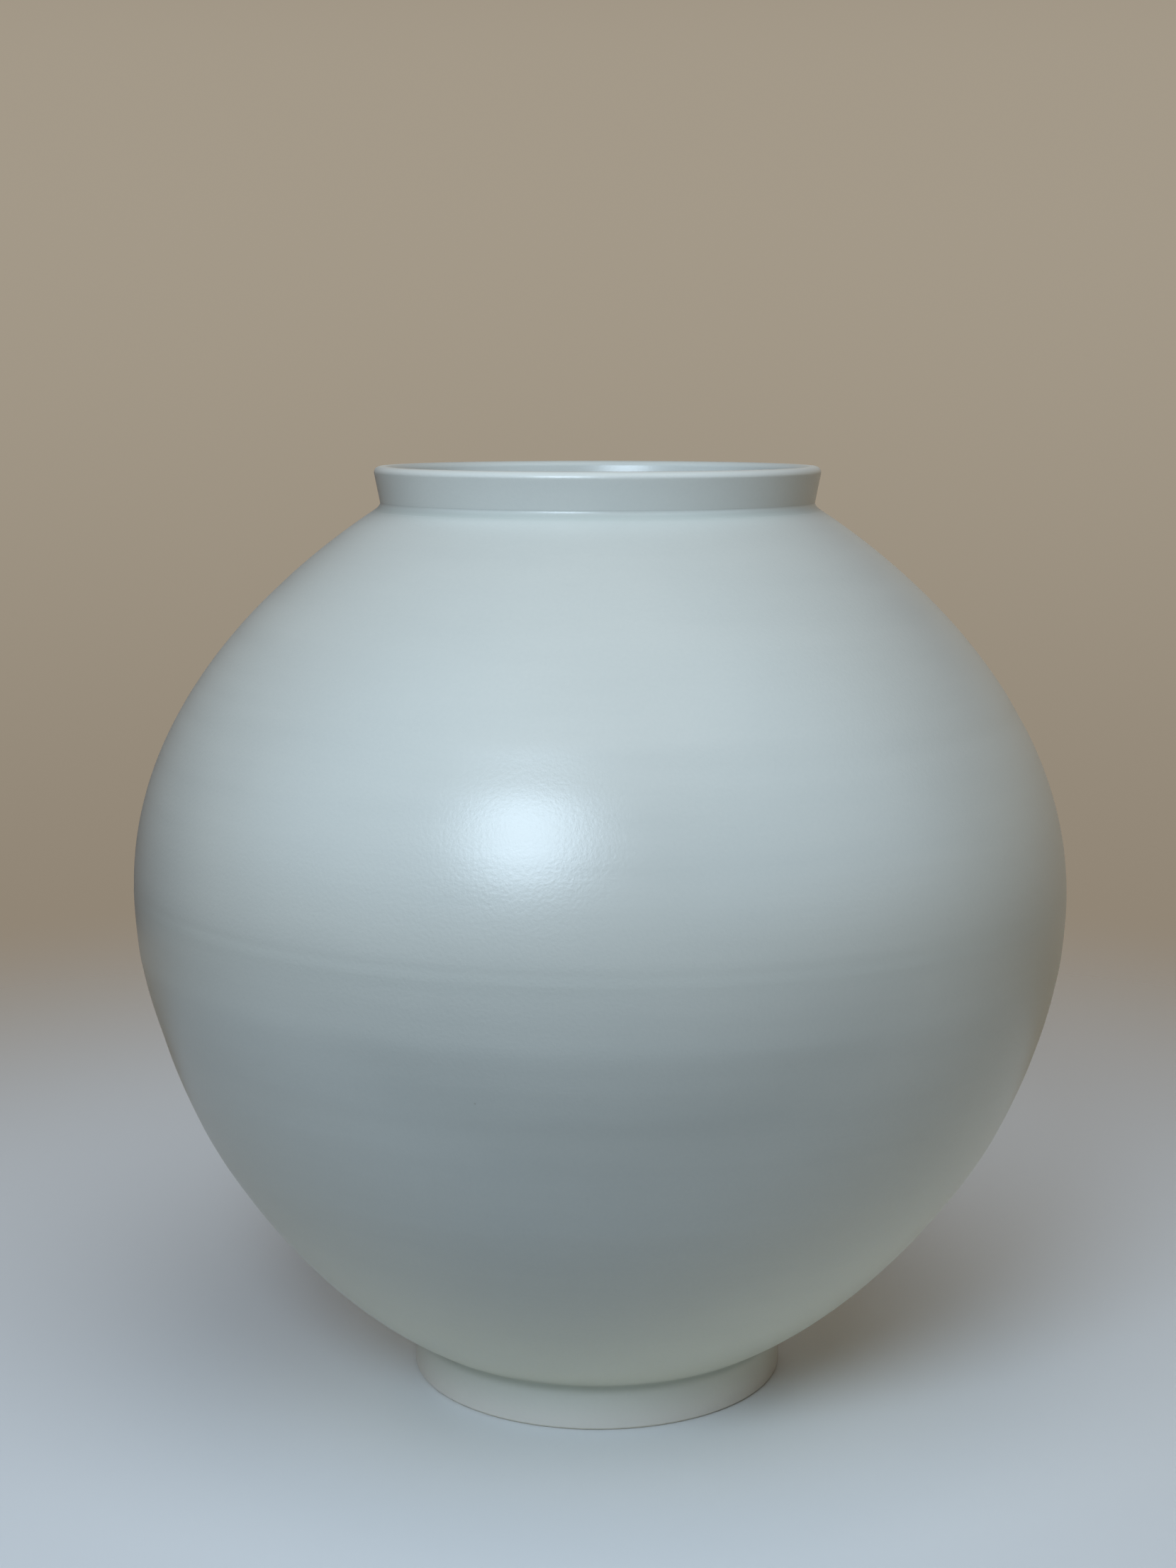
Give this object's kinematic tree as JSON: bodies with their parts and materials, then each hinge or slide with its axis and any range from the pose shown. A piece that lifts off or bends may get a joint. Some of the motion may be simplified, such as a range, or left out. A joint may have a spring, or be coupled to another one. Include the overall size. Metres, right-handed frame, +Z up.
{
  "type": "moon jar",
  "caption": "Globular white-glazed moon jar, luted from bowls at its belly, with a low flared mouth collar and a narrow foot ring; a free-standing vessel or vase.",
  "frame": {"origin": "centre of the foot ring's resting face", "axes": "+Z up the axis that the jar is turned on; X and Y lie in the resting face, in any direction because the form is round"},
  "size_m": [0.3018, 0.3018, 0.3],
  "materials": {
    "white_glaze": "satin pale white glaze with a faint cool cast",
    "joint_slip": "fired slip under the same glaze"
  },
  "bodies": {
    "root": {"lower_bowl": "white_glaze", "upper_bowl": "white_glaze", "mouth_collar": "white_glaze", "foot_ring": "white_glaze", "belly_slip": "joint_slip", "collar_slip": "joint_slip", "foot_slip": "joint_slip"}
  },
  "joints": []
}
